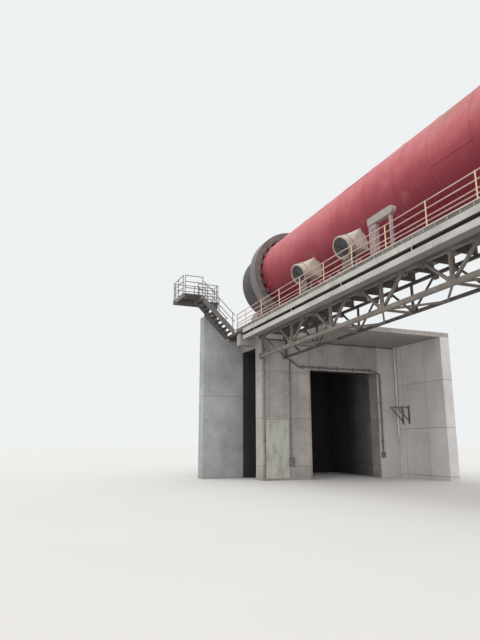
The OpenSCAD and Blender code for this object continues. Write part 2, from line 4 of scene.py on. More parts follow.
import bpy
import numpy as np
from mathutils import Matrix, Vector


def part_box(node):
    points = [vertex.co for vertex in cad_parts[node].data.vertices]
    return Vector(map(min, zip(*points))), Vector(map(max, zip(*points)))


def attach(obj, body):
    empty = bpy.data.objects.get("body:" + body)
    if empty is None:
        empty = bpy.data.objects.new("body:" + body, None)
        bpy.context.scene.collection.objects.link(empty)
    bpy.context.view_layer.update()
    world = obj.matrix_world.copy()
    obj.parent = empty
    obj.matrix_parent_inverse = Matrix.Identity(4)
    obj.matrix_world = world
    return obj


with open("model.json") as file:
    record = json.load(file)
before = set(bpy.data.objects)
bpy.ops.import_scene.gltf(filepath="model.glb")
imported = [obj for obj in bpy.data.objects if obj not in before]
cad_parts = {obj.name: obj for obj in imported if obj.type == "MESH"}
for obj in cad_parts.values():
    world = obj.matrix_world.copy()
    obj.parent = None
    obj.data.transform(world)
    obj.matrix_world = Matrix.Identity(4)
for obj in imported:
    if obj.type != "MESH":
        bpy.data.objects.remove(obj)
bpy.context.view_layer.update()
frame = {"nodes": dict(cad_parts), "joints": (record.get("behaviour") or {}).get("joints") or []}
nodes = frame["nodes"]

# Camera
# It stands in the yard at a little over head height and looks up along the walkway,
# 22.5 degrees off the kiln's own direction. Its place is measured from the first pier's front.
front_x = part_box("front_wall_yard")[1][0]
picture_height = 640
focal_length = 553
sensor = 36
eye_ahead, eye_y, eye_height = 26.9, -15.6, 1.93
look_up, heading = 12.5, 67.5
camera = bpy.data.objects.new("camera", bpy.data.cameras.new("camera"))
camera.data.sensor_width = sensor
camera.data.lens = sensor * focal_length / picture_height
camera.data.clip_end = 1000
camera.location = (front_x + eye_ahead, eye_y, eye_height)
camera.rotation_euler = (math.radians(90 + look_up), 0, math.radians(heading))
bpy.context.collection.objects.link(camera)
bpy.context.scene.camera = camera


# Concrete piers
# Reinforced concrete, cast against plywood panels in lifts of two and a half metres. The panels leave
# joint lines and tie holes, rain draws streaks from every ledge, and kiln dust lies on what faces up.
def maths(operation, swapped=False):
    """A method that adds a Math node to the tree a Value belongs to. Swapped, the other number comes first."""
    def method(value, other=None):
        terms = [value] if other is None else [value, other]
        return value.owner.node("ShaderNodeMath", {"operation": operation},
                                dict(enumerate(terms[::-1] if swapped else terms)))
    return method


class Value:
    """A number that changes over a surface. Arithmetic on it adds Math nodes to the tree it belongs to."""
    __add__ = __radd__ = maths("ADD")
    __sub__ = maths("SUBTRACT")
    __rsub__ = maths("SUBTRACT", swapped=True)
    __mul__ = __rmul__ = maths("MULTIPLY")
    __truediv__ = maths("DIVIDE")
    __abs__ = maths("ABSOLUTE")
    floor = maths("FLOOR")
    fraction = maths("FRACT")
    root = maths("SQRT")
    most = maths("MAXIMUM")
    angle_to = maths("ARCTAN2")

    def __init__(self, owner, socket):
        self.owner = owner
        self.socket = socket


class Nodes:
    """A node tree being built, and the ways in which values and colours are mixed in it."""

    def __init__(self, tree):
        self.tree = tree

    def node(self, kind, settings=None, sockets=None, output=0):
        """Adds a node, applies its settings, then sets or links its sockets, and gives one of its outputs."""
        made = self.tree.nodes.new(kind)
        for name, value in (settings or {}).items():
            if name == "stops":
                for stop, (place, colour) in zip(made.color_ramp.elements, value):
                    stop.position = place
                    stop.color = colour
            else:
                setattr(made, name, value)
        for name, value in (sockets or {}).items():
            if isinstance(value, Value):
                self.tree.links.new(value.socket, made.inputs[name])
            else:
                made.inputs[name].default_value = value
        return Value(self, made.outputs[output])

    def parts(self, vector):
        """The X, Y and Z of a vector."""
        split = self.node("ShaderNodeSeparateXYZ", sockets={0: vector}).socket.node
        return [Value(self, split.outputs[axis]) for axis in range(3)]

    def vector(self, x, y, z):
        return self.node("ShaderNodeCombineXYZ", sockets={0: x, 1: y, 2: z})

    def between(self, value, low, high):
        """0 below low, 1 above high, and smooth between. With low over high it falls instead."""
        return self.node("ShaderNodeMapRange", {"interpolation_type": "SMOOTHSTEP"},
                         {"Value": value, "From Min": low, "From Max": high})

    def lines(self, value, pitch, width):
        """1 on lines of a width, centred on every whole multiple of the pitch."""
        away = abs((value / pitch + 0.5).fraction() - 0.5) * pitch
        return self.between(away, width, width * 0.4)

    def blend(self, share, first, second, kind="MIX"):
        """From the first colour at share 0 to the second at 1."""
        return self.node("ShaderNodeMix", {"data_type": "RGBA", "blend_type": kind},
                         {0: share, 6: first, 7: second}, output=2)

    def coats(self, colour, *layers):
        """A colour with layers over it in turn, each given as its share and its own colour."""
        for share, layer in layers:
            colour = self.blend(share, colour, layer)
        return colour

    def shade(self, colour, level):
        """A colour made darker or lighter by a level, where 1 leaves it as it is."""
        return self.blend(1.0, colour, level, "MULTIPLY")


class Finish(Nodes):
    """A material being mixed: its shader, and where a point of the surface is and how it faces in its object."""

    def __init__(self, name, roughness=0.8, metallic=0.0):
        self.material = bpy.data.materials.new(name)
        self.material.use_nodes = True
        super().__init__(self.material.node_tree)
        self.shader = self.tree.nodes["Principled BSDF"]
        self.shader.inputs["Roughness"].default_value = roughness
        self.shader.inputs["Metallic"].default_value = metallic
        self.point = self.node("ShaderNodeTexCoord", output="Object")
        self.x, self.y, self.z = self.parts(self.point)
        self.face_x, _, self.face_z = self.parts(self.node("ShaderNodeTexCoord", output="Normal"))

    def noise(self, scale, detail=4, stretch=(1, 1, 1), at=None, rough=0.6):
        """Cloudy noise from 0 to 1, with so many features a metre, drawn out where the stretch is small."""
        place = self.node("ShaderNodeVectorMath", {"operation": "MULTIPLY"},
                          {0: at or self.point, 1: tuple(scale * share for share in stretch)})
        return self.node("ShaderNodeTexNoise", sockets={"Vector": place, "Scale": 1.0, "Detail": detail,
                                                        "Roughness": rough})

    def patches(self, low, high, *scale, **settings):
        """Noise as patches: 0 where it is below low, 1 where it is above high, and smooth between."""
        return self.between(self.noise(*scale, **settings), low, high)

    def paint(self, colour, roughness=None, metallic=None, height=None, depth=0.01):
        """Links what changes over the surface into the shader. Height is a bump, in shares of the depth."""
        for name, value in (("Base Color", colour), ("Roughness", roughness), ("Metallic", metallic)):
            if value is not None:
                self.tree.links.new(value.socket, self.shader.inputs[name])
        if height is not None:
            bump = self.node("ShaderNodeBump", sockets={"Height": height, "Distance": depth, "Strength": 0.6})
            self.tree.links.new(bump.socket, self.shader.inputs["Normal"])
        return self.material


def tone(red, green, blue):
    """A colour in the 0 to 255 steps of a screen, as the linear light that a shader takes."""
    share = np.array([red, green, blue]) / 255
    linear = np.where(share <= 0.04045, share / 12.92, ((share + 0.055) / 1.055) ** 2.4)
    return (*linear.tolist(), 1.0)


def dress(names, material):
    """Puts one material on CAD nodes."""
    for name in names:
        nodes[name].data.materials.clear()
        nodes[name].data.materials.append(material)


def make_piece(name, parts, material, body="structure", smooth=False):
    """One object at the origin that rides on a body, made of parts. Each part is its points and groups of
    faces, which are counted on from the parts before."""
    faces = []
    count = 0
    for points, part_faces in parts:
        for group in part_faces:
            faces.extend((np.asarray(group) + count).tolist())
        count += len(points)
    mesh = bpy.data.meshes.new(name)
    mesh.from_pydata(np.concatenate([points for points, _ in parts]).tolist(), [], faces)
    mesh.polygons.foreach_set("use_smooth", [smooth] * len(faces))
    mesh.materials.append(material)
    piece = bpy.data.objects.new(name, mesh)
    bpy.context.collection.objects.link(piece)
    if smooth:
        mesh.set_sharp_from_angle(angle=math.radians(40))
    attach(piece, body)


def unit(vectors):
    return vectors / np.linalg.norm(vectors, axis=-1, keepdims=True)


def around(first, second, sides, start=0.0):
    """Directions at even angles round a circle: the cosine of an angle along the first direction and its
    sine along the second."""
    angle = (np.arange(sides) * 2 * np.pi / sides + start)[:, None]
    return first * np.cos(angle) + second * np.sin(angle)


def bars(starts, ends, width, depth, side=(0.0, 1.0, 0.0)):
    """Square-cut bars. A corner is an end point plus or minus half the width along the side direction
    and half the depth along the direction square to both side and bar."""
    starts, ends = np.atleast_2d(starts).astype(float), np.atleast_2d(ends).astype(float)
    run = unit(ends - starts)
    side = np.broadcast_to(np.asarray(side, float), run.shape)
    wide = unit(side - (side * run).sum(1, keepdims=True) * run)
    deep = np.cross(run, wide)
    corners = [end + wide * width * a / 2 + deep * depth * b / 2
               for end in (starts, ends) for a in (-1, 1) for b in (-1, 1)]
    box = np.array([[0, 1, 3, 2], [4, 6, 7, 5], [0, 4, 5, 1], [2, 3, 7, 6], [0, 2, 6, 4], [1, 5, 7, 3]])
    faces = (np.arange(len(starts))[:, None, None] * 8 + box).reshape(-1, 4)
    return np.stack(corners, 1).reshape(-1, 3), [faces]


def rods(starts, ends, radius, sides=8):
    """Round bars with flat ends. A ring point is the end plus the radius times a direction round the bar."""
    starts, ends = np.atleast_2d(starts).astype(float), np.atleast_2d(ends).astype(float)
    run = unit(ends - starts)
    helper = np.where(np.abs(run[:, 2:]) > 0.9, [[1.0, 0.0, 0.0]], [[0.0, 0.0, 1.0]])
    first = unit(np.cross(helper, run))
    ring = around(first[:, None], np.cross(run, first)[:, None], sides) * radius
    points = np.stack([starts[:, None] + ring, ends[:, None] + ring], 1).reshape(-1, 3)
    step = np.arange(sides)
    following = (step + 1) % sides
    wall = np.stack([step, following, following + sides, step + sides], 1)
    base = np.arange(len(starts))[:, None, None] * 2 * sides
    caps = np.stack([step[::-1], step + sides])
    return points, [(base + wall).reshape(-1, 4), (base + caps).reshape(-1, sides)]


def tube_along(path, radius, sides=8):
    """A round tube through points. Each ring lies square to the mean of the two stretches that meet there."""
    path = np.asarray(path, float)
    run = unit(np.diff(path, axis=0))
    mean = unit(np.vstack([run[:1], run[:-1] + run[1:], run[-1:]]))
    bend = np.vstack([[1.0], np.sqrt((1 + (run[:-1] * run[1:]).sum(1, keepdims=True)) / 2), [1.0]])
    normal = np.cross(run[0], run[-1])
    if np.linalg.norm(normal) < 0.1:
        normal = np.cross(run[0], [0.1, 0.2, 1.0])
    normal = unit(normal)
    ring = around((np.cross(mean, normal) / bend)[:, None], normal, sides) * radius
    step = np.arange(sides)
    following = (step + 1) % sides
    row = np.arange(len(path) - 1)[:, None, None] * sides
    wall = row + np.stack([step, step + sides, following + sides, following], 1)
    last = step[::-1] + (len(path) - 1) * sides
    return (path[:, None] + ring).reshape(-1, 3), [wall.reshape(-1, 4), step[None], last[None]]


def revolved(profile, origin, axis, sides=96):
    """A closed profile carried round an axis. A point is the origin plus its distance along the axis,
    plus its radius times a direction round it."""
    profile = np.asarray(profile, float)
    axis = unit(np.asarray(axis, float))
    first = unit(np.cross([0.1, 0.2, 1.0], axis))
    ring = around(first, np.cross(axis, first), sides)
    points = np.asarray(origin) + axis * profile[:, :1, None].transpose(0, 2, 1) + ring * profile[:, 1:, None]
    below = np.arange(len(profile) * sides).reshape(len(profile), sides)
    over = np.roll(below, -1, 0)
    faces = np.stack([below, np.roll(below, -1, 1), np.roll(over, -1, 1), over], -1).reshape(-1, 4)
    return points.reshape(-1, 3), [faces]


def concrete(name, dark, light, lift_first, lift, panel, soil=1.0, room=None, head=None):
    """Concrete: clouds of grey between two colours, each shutter panel a shade of its own, thin joints,
    tie holes, streaks drawn out down the face, dust on top, soil near the ground and painted shade on faces
    that look down. A room, which is given by its two corners, is darkened with painted shade, less so where
    painted daylight falls on its far side. The far end of its front is lightened with painted light, and a
    darker line runs along the front's head."""
    finish = Finish(name, roughness=0.88)
    panel_start, panel_joint, lift_joint = 0.31, 0.022, 0.03
    tie_beside, tie_above, tie_r = 1.2, 1.25, 0.035
    x, y, z = finish.x, finish.y, finish.z
    across_x = finish.between(abs(finish.face_x), 0.5, 0.6)
    upright = 1 - finish.between(abs(finish.face_z), 0.5, 0.6)
    upward = finish.between(finish.face_z, 0.5, 0.8)
    underside_shade = finish.between(finish.face_z, -0.5, -0.8)
    across = y * across_x + x * (1 - across_x)
    clouds = finish.noise(0.55, 7)
    grain = finish.noise(9, 8, rough=0.75)
    spots = finish.patches(0.55, 0.75, 2.6, 5)
    joints = finish.lines(across + panel_start, panel, panel_joint)
    joints = joints.most(finish.lines(z - lift_first, lift, lift_joint)) * upright
    panel_at = finish.vector(((across + panel_start) / panel).floor(), ((z - lift_first) / lift).floor(),
                             across_x)
    panel_tone = finish.node("ShaderNodeTexWhiteNoise", {"noise_dimensions": "3D"}, {"Vector": panel_at})
    beside = ((across / tie_beside).fraction() - 0.5) * tie_beside
    above = ((z / tie_above).fraction() - 0.5) * tie_above
    hole = finish.between((beside * beside + above * above).root(), tie_r, tie_r - 0.015) * upright
    streaks = finish.patches(0.54, 0.78, 2.4, 5, (1, 1, 0.07))
    runs = finish.patches(0.60, 0.75, 7, 3, (1, 1, 0.04))
    low = finish.between(z + finish.noise(1.5, 4) * 1.1, 1.5, 0.4)
    colour = finish.blend(finish.between(clouds, 0.25, 0.75), dark, light)
    colour = finish.shade(colour, 0.90 + panel_tone * 0.12 + grain * 0.10)
    # The last coat darkens the faces that look down, as painted shade.
    colour = finish.coats(
        colour, (spots * 0.35, tone(204, 200, 196)),
        (streaks * upright * 0.34 * soil, tone(112, 104, 98)),
        (runs * upright * 0.30, tone(208, 204, 200)),
        (low * 0.4 * soil, tone(124, 115, 108)),
        (joints * 0.5, tone(112, 107, 102)),
        (hole * 0.8, tone(78, 74, 70)),
        (upward * finish.between(clouds, 0.2, 0.6) * 0.7, tone(186, 174, 162)),
        (underside_shade * (0.3 + clouds * 0.3), tone(88, 84, 82)))
    if room:
        far = room[1][1]
        lit_depth, joint_half = 4.2, 0.05
        sides = [finish.between(value, edge, edge + step) for value, low, high in zip((x, y, z), *room)
                 for edge, step in ((low, 0.02), (high, -0.02))]
        # The room's inside is darkened as painted shade, and lightened again as painted daylight near its far
        # side.
        painted_room_shade = sides[0] * sides[1] * sides[2] * sides[3] * sides[5]
        painted_daylight = finish.between(x, front_x - lit_depth, front_x) * finish.between(y, far - 1.1, far - 0.65)
        front = finish.between(abs(x - front_x), 0.05, 0.03)
        # The far end of the front, in the corner by the wing wall, is lightened as painted light.
        painted_corner_light = finish.between(y + clouds * 0.4, far - 0.5, far - 0.2) * front
        # A darker line is painted along the front's head, where the canopy meets it.
        joint = finish.between(abs(z - head + joint_half), 0.055, 0.03) * front
        colour = finish.coats(colour, (painted_room_shade * (0.95 - painted_daylight * 0.72), tone(24, 23, 32)),
                              (painted_corner_light * 0.6, tone(226, 222, 218)), (joint * 0.8, tone(52, 48, 46)))
    height = grain * 0.25 + clouds * 0.2 + panel_tone * 0.15 - joints * 0.5 - hole * 0.7
    return finish.paint(colour, 0.82 + grain * 0.14, height=height, depth=0.02)


slab_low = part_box("roof_slab")[0]
room_low = (slab_low[0] + 0.1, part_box("yard_wall")[0][1] + 0.02, 0.0)
room_high = (front_x - 0.03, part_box("far_wall")[0][1] + 0.03, slab_low[2] + 0.03)
pier_concrete = concrete("pier_concrete", tone(154, 148, 143), tone(190, 185, 180), lift_first=0.7, lift=2.5,
                         panel=1.22, room=(room_low, room_high), head=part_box("front_canopy")[0][2])
dress(["front_wall_yard", "front_wall_far", "door_lintel", "yard_wall", "far_wall", "rear_wall", "roof_slab",
       "front_canopy", "lower_landing", "pier_2", "pier_2_corbel"], pier_concrete)
# The wing wall's concrete is painted much paler than the pier's, as painted light to lift the shade it stands in.
dress(["wing_wall"], concrete("wing_concrete_lightened", tone(204, 202, 200), tone(226, 224, 222), lift_first=0.2,
                              lift=2.5, panel=1.9, soil=0.35))

# Column
# Cast later than the piers and greyer, in two lifts with a day joint half way up. Its faces are
# narrower than one shutter panel, so they have no upright joints.
dress(["column"], concrete("column_concrete", tone(148, 150, 150), tone(182, 184, 185), lift_first=4.5,
                           lift=4.5, panel=50.0, soil=0.7))


# Fittings on the first pier's front
# Steel conduits clipped to the wall, two junction boxes, a cover plate over a shaft beside the doorway,
# a rain pipe in the corner by the wing wall and two pipe brackets. The clips are strip with one screw each.
def span(spots, far, near=(0, 0, 0)):
    """The two ends of bars that reach from each spot, or from an offset near it, to another offset."""
    spots = np.atleast_2d(spots).astype(float)
    return spots + near, spots + far


wall_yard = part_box("front_wall_yard")
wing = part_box("wing_wall")
conduit = Finish("conduit_zinc", roughness=0.5, metallic=0.6)
dust = conduit.patches(0.35, 0.7, 5, 5)
conduit_steel = conduit.paint(conduit.blend(dust, tone(108, 106, 104), tone(150, 143, 136)), 0.4 + dust * 0.5,
                              0.7 - dust * 0.6)
pipe_r, thin_r, off_wall = 0.05, 0.03, 0.015
pipe_x = front_x + pipe_r + off_wall
thin_x = front_x + thin_r + off_wall
door_low, door_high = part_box("door_lintel")
head_z = door_low[2] + 0.14
edge_line, shaft_line, far_line = -3.06, -1.50, door_high[1] + 0.16
far_foot, shaft_foot = 1.4, 1.1
clip_pitch, strip = 1.25, 0.05
clips = np.array([(thin_x, edge_line, z) for z in np.arange(0.8, 6.9, clip_pitch)]
                 + [(thin_x, shaft_line, z) for z in np.arange(1.6, 6.2, clip_pitch)])
pipe_clips = [(pipe_x, far_line, z) for z in np.arange(2.0, 5.6, 1.1)]
head_clips = [(pipe_x, y, head_z) for y in np.arange(-0.7, 4.0, 1.1)]
along_x = (1, 0, 0)
make_piece("conduits", [
    tube_along([(pipe_x, -2.05, 6.72), (pipe_x, -0.95, head_z), (pipe_x, 3.9, head_z),
                (pipe_x, far_line, head_z - 0.2), (pipe_x, far_line, far_foot)], pipe_r),
    tube_along([(thin_x, edge_line, 6.98), (thin_x, edge_line, 0.12)], thin_r),
    tube_along([(thin_x, shaft_line, 6.30), (thin_x, shaft_line, shaft_foot)], thin_r),
    bars(*span(clips, (-0.01, 0.08, 0), (-0.01, -0.08, 0)), strip, strip, along_x),
    bars(*span(pipe_clips, (-0.02, 0.11, 0), (-0.02, -0.11, 0)), 0.07, strip, along_x),
    bars(*span(head_clips, (-0.02, 0, 0.11), (-0.02, 0, -0.11)), 0.07, strip, along_x),
    bars(*span((front_x, shaft_line, shaft_foot - 0.15), (0.14, 0, 0)), 0.3, 0.4),
    bars(*span((front_x, far_line, far_foot - 0.15), (0.12, 0, 0)), 0.22, 0.32),
], conduit_steel, smooth=True)

cover = Finish("cover_paint", roughness=0.6)
worn = cover.patches(0.42, 0.7, 3, 6, (1, 1, 0.4))
cover_paint = cover.paint(cover.blend(worn, tone(188, 189, 176), tone(166, 163, 152)), 0.55 + worn * 0.3,
                          height=worn, depth=0.003)
cover_w, cover_h, cover_t, cover_foot = 1.36, 3.1, 0.03, 0.1
cover_y = wall_yard[0][1] + 0.2
cover_middle = cover_y + cover_w / 2
edge_bolts = [(front_x + cover_t, cover_y + cover_w * side, z) for side in (0.03, 0.5, 0.97)
              for z in np.linspace(0.22, cover_h - 0.02, 9)]
make_piece("shaft_cover", [
    bars(*span((front_x, cover_middle, cover_foot + cover_h / 2), (cover_t, 0, 0)), cover_w, cover_h),
    bars(*span((front_x, cover_middle, cover_h + 0.12), (0.16, 0, 0)), cover_w + 0.1, 0.04),
    rods(*span(edge_bolts, (0.02, 0, 0)), 0.016, 6),
], cover_paint)

rain_pipe = Finish("rain_pipe_white", roughness=0.5)
grime = rain_pipe.patches(0.4, 0.75, 1.5, 5, (1, 1, 0.2))
rain_paint = rain_pipe.paint(rain_pipe.blend(grime, tone(236, 234, 230), tone(196, 190, 184)),
                             0.45 + grime * 0.4)
rain_off, rain_r, spout_z = 0.13, 0.055, 2.5
rain_at = np.array([front_x + rain_off, wing[0][1] - 0.10, 0.0])
rain_path = [(0.0, 0.0, wing[1][2] - 0.01), (0.0, 0.0, spout_z), (0.22, -0.12, spout_z - 0.2)]
rain_clips = rain_at + np.array([(-rain_off, 0.0, z) for z in (3.0, 4.6, 6.2)])
make_piece("rain_pipe", [tube_along(rain_at + np.array(rain_path), rain_r, 12),
                         bars(*span(rain_clips, (rain_off + 0.05, 0, 0)), 0.15, 0.04)],
           rain_paint, smooth=True)

arm_l, brace_drop, arm_pitch, plate_off = 0.9, 0.8, 0.55, 0.012
arms = [(front_x + 0.45 + shift, wing[0][1], 3.9) for shift in (0.0, arm_pitch)]
make_piece("pipe_brackets", [
    bars(*span(arms, (0, -arm_l, 0)), 0.07, 0.07, along_x),
    bars(*span(arms, (0, 0.06 - arm_l, 0), (0, 0, -brace_drop)), 0.05, 0.05, along_x),
    bars(*span(arms, (0, -plate_off, 0.12), (0, -plate_off, -0.95)), 0.14, 0.02, along_x),
], conduit_steel)


# Stair and landings
# Galvanised steel: flat-bar stringers, open grating for treads and floors, and tube rails,
# all grey with cement dust that sticks where hands and feet don't rub it off.
def dusty_steel(name, bare, dusty, rusty=0.25, roughness=0.6, metallic=0.3):
    """Painted or zinc-coated steel under dust: dust lies thick on what faces up, thin and cloudy on the rest,
    and rust comes through in small spots that run down a little."""
    finish = Finish(name)
    grain = finish.noise(22, 6, rough=0.7)
    dust = finish.between(finish.noise(1.6, 6) + finish.face_z * 0.35, 0.38, 0.78)
    rust = finish.patches(0.60, 0.70, 4.5, 8, (1, 1, 0.35), rough=0.75) * rusty
    colour = finish.shade(finish.blend(dust, bare, dusty), 0.86 + grain * 0.28)
    colour = finish.blend(rust, colour, tone(104, 70, 52))
    rough = roughness + dust * (0.92 - roughness)
    return finish.paint(colour, rough, (1 - dust) * metallic, grain * 0.4 + dust * 0.5 + rust * 0.4, 0.004)


def grating(name, pitch, bar, bare, dusty):
    """Steel grating: bearing bars at a pitch each way, as lines on the flat faces, with the open gaps between
    painted dark as the shade seen through them.
    """
    finish = Finish(name)
    flat = finish.between(abs(finish.face_z), 0.5, 0.7)
    steel = finish.lines(finish.x, pitch, bar).most(finish.lines(finish.y, pitch * 3, bar)).most(1 - flat)
    dust = finish.patches(0.35, 0.7, 1.8, 6)
    colour = finish.blend(steel, tone(46, 43, 42), finish.blend(dust, bare, dusty))
    return finish.paint(colour, 0.6 + dust * 0.3, steel * 0.25, steel)


landing_steel = dusty_steel("landing_steel", tone(112, 112, 112), tone(142, 136, 130))
dress(["stair_rails", "landing_rails"], landing_steel)
dress(["upper_landing", "stair"], grating("landing_grating", 0.034, 0.006, tone(104, 103, 102),
                                          tone(138, 132, 126)))

stair_low, stair_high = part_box("stair")
rise, going, tread_count, nosing, lip = 0.2, 0.21, 9, 0.02, 0.012
stair_w = stair_high[0] - stair_low[0]
stair_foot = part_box("deck")[0][1]
tread_top = stair_high[2] - np.arange(tread_count, 0, -1) * rise
tread_out = stair_foot - np.arange(tread_count) * going + nosing
tread_lip = np.stack([np.full(tread_count, stair_low[0]), tread_out, tread_top], 1)
clip_bolts = [(x, y - 0.13, z - 0.05) for y, z in zip(tread_out, tread_top)
              for x in (stair_low[0] - lip, stair_high[0])]
make_piece("stair_nosings", [bars(*span(tread_lip, (stair_w, -lip, -lip), (0, -lip, -lip)), 0.03, 0.03),
                             rods(*span(clip_bolts, (lip, 0, 0)), 0.016, 6)],
           landing_steel)

column_low, column_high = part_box("column")
ledge_x, string_x = column_high[0] + 0.035, column_high[0] + 0.08
string_low = tread_top[0] - 0.38
string_end = column_low[1] + 0.1
string_rise = (stair_foot - string_end) * rise / going
make_piece("stair_ledge", [
    bars((ledge_x, column_high[1] - 0.05, string_low - 0.035), (ledge_x, stair_foot + 0.1, string_low - 0.035),
         0.06, 0.10, along_x),
    bars((string_x, stair_foot, string_low - 0.02), (string_x, string_end, string_low - 0.02 + string_rise),
         0.14, 0.08, along_x),
], landing_steel)

# Base frames, bearings and rollers
# Under each tyre two forged rollers run in oil-filled bearings. The housings are cast in two halves and
# bolted at the shaft's height, and sit on welded box frames that are held down to the plinth.
kiln_turn = next(joint for joint in frame["joints"] if joint["name"] == "kiln_turn")
axis = unit(np.array(kiln_turn["axis"], float))
axis_at = np.array(kiln_turn["pos_m"], float)
slope_x, slope_z = axis[0], axis[2]


def on_slope(height, points):
    """Points given along the kiln's fall, across and up from a height over the pier's front, as places."""
    points = np.atleast_2d(points).astype(float)
    return np.stack([front_x + points[:, 0] * slope_x - points[:, 2] * slope_z,
                     points[:, 1],
                     height + points[:, 0] * slope_z + points[:, 2] * slope_x], 1)


def slope_span(height, spots, far, near=(0, 0, 0)):
    """The same two ends as span gives, for spots on the kiln's fall."""
    return [on_slope(height, ends) for ends in span(spots, far, near)]


def down_slope(finish, height):
    """How far a surface point lies along the kiln's fall, and up from a height over the pier's front."""
    ahead = finish.x - front_x
    over = finish.z - height
    return ahead * slope_x + over * slope_z, over * slope_x - ahead * slope_z


def machine_paint(name, paint, dusty, grease):
    """Thick machine enamel: dust on top, oil that darkens and shines round the shafts, chips at random."""
    finish = Finish(name)
    grain = finish.noise(16, 6)
    dust = finish.between(finish.noise(1.9, 6) + finish.face_z * 0.4, 0.4, 0.85)
    oil = finish.patches(0.56, 0.72, 2.3, 5, (1, 1, 0.4))
    chips = finish.patches(0.70, 0.74, 14, 3)
    colour = finish.coats(paint, (dust, dusty), (oil * 0.7, grease), (chips, tone(84, 66, 58)))
    return finish.paint(finish.shade(colour, 0.9 + grain * 0.2), 0.5 + dust * 0.4 - oil * 0.25,
                        height=grain * 0.3 + dust * 0.5 - chips * 0.5, depth=0.006)


bearing_paint = machine_paint("bearing_green", tone(92, 118, 104), tone(150, 142, 132), tone(44, 42, 38))
frame_paint = machine_paint("frame_green", tone(84, 100, 96), tone(146, 137, 127), tone(52, 47, 42))
dress(["bearings_1", "bearings_2"], bearing_paint)
dress(["base_frame_1", "base_frame_2"], frame_paint)


def rolled_steel(name, bare, dusty, grease, bright):
    """Machined steel that rolls: the running face is worn bright in bands round it with grease at the edges,
    the sides carry dust, and turning marks ring them."""
    finish = Finish(name)
    side = finish.between(abs(finish.face_x), 0.6, 0.9)
    along = finish.x * slope_x + finish.z * slope_z
    bands = finish.noise(1.0, 5, at=finish.vector(along * 14, 0.0, 0.0))
    clouds = finish.noise(1.7, 6)
    grain = finish.noise(26, 5)
    smear = finish.patches(0.46, 0.82, 1.7, 7, rough=0.7)
    running = finish.coats(bare, (bands, bright), (smear * 0.55, grease))
    flank = finish.coats(bare, (finish.between(clouds, 0.3, 0.7), dusty), (smear * 0.3, grease))
    colour = finish.shade(finish.blend(side, running, flank), 0.88 + grain * 0.24)
    rough = 0.36 + side * 0.42 + clouds * 0.1
    return finish.paint(colour, rough, 0.75 - side * 0.55, grain * 0.4 + bands * 0.4, 0.003)


dress(["roller_1_yard", "roller_1_far", "roller_2_yard", "roller_2_far"],
      rolled_steel("roller_steel", tone(112, 106, 101), tone(138, 129, 120), tone(44, 40, 37),
                   tone(150, 146, 142)))

supports = (-2.3, 23.7)
roller_y, roller_drop, bearing_x, bearing_l, bearing_r, foot = 1.775, 3.0746, 0.685, 0.48, 0.41, 0.56
shaft_level = -roller_drop
frame_top = shaft_level - foot
flange_half = bearing_l / 2 - 0.03
axis_z = axis_at[2]
for number, at in enumerate(supports, 1):
    middles = [(at + end * bearing_x, side * roller_y) for side in (-1, 1) for end in (-1, 1)]
    flanges = [(x, y + out * (bearing_r + 0.045), shaft_level) for x, y in middles for out in (-1, 1)]
    caps = [(x + shift, y, z + 0.035) for x, y, z in flanges for shift in (-0.15, 0.0, 0.15)]
    cups = [(x, y, shaft_level + bearing_r - 0.004) for x, y in middles]
    soles = [(x + dx, y + dy, frame_top + 0.09)
             for x, y in middles for dx in (-0.16, 0.16) for dy in (-0.47, 0.47)]
    make_piece("bearing_caps_%d" % number, [
        bars(*slope_span(axis_z, flanges, (flange_half, 0, 0), (-flange_half, 0, 0)), 0.085, 0.07),
        rods(*slope_span(axis_z, caps, (0, 0, 0.06)), 0.026, 6),
        rods(*slope_span(axis_z, soles, (0, 0, 0.05)), 0.035, 6),
        rods(*slope_span(axis_z, cups, (0, 0, 0.09)), 0.05, 12),
    ], bearing_paint)
    ribs = [(at + end * (bearing_x + side * 0.235), y, frame_top - 0.02)
            for end in (-1, 1) for side in (-1, 1) for y in np.arange(-2.4, 2.5, 0.8)]
    anchors = [(at + end * 0.38, y, frame_top - 0.36) for end in (-1, 1) for y in (-2.2, -1.1, 1.1, 2.2)]
    make_piece("frame_ribs_%d" % number, [
        bars(*slope_span(axis_z, ribs, (0, 0, 0), (0, 0, -0.36)), 0.02, 0.05),
        rods(*slope_span(axis_z, anchors, (0, 0, 0.16), (0, 0, -0.03)), 0.03, 8),
        rods(*slope_span(axis_z, anchors, (0, 0, 0.05), (0, 0, -0.02)), 0.06, 6),
    ], frame_paint)

# Tyres
# Cast steel riding rings as thick as a hand is long. They hang loose on the pads with a film of graphite,
# and their running faces are polished by the rollers.
dress(["tyre_1", "tyre_2"], rolled_steel("tyre_steel", tone(104, 98, 96), tone(138, 128, 121),
                                         tone(50, 45, 43), tone(136, 132, 130)))
dress(["tyre_pads_1", "tyre_pads_2"], dusty_steel("pad_steel", tone(92, 82, 80), tone(140, 122, 118), 0.5))

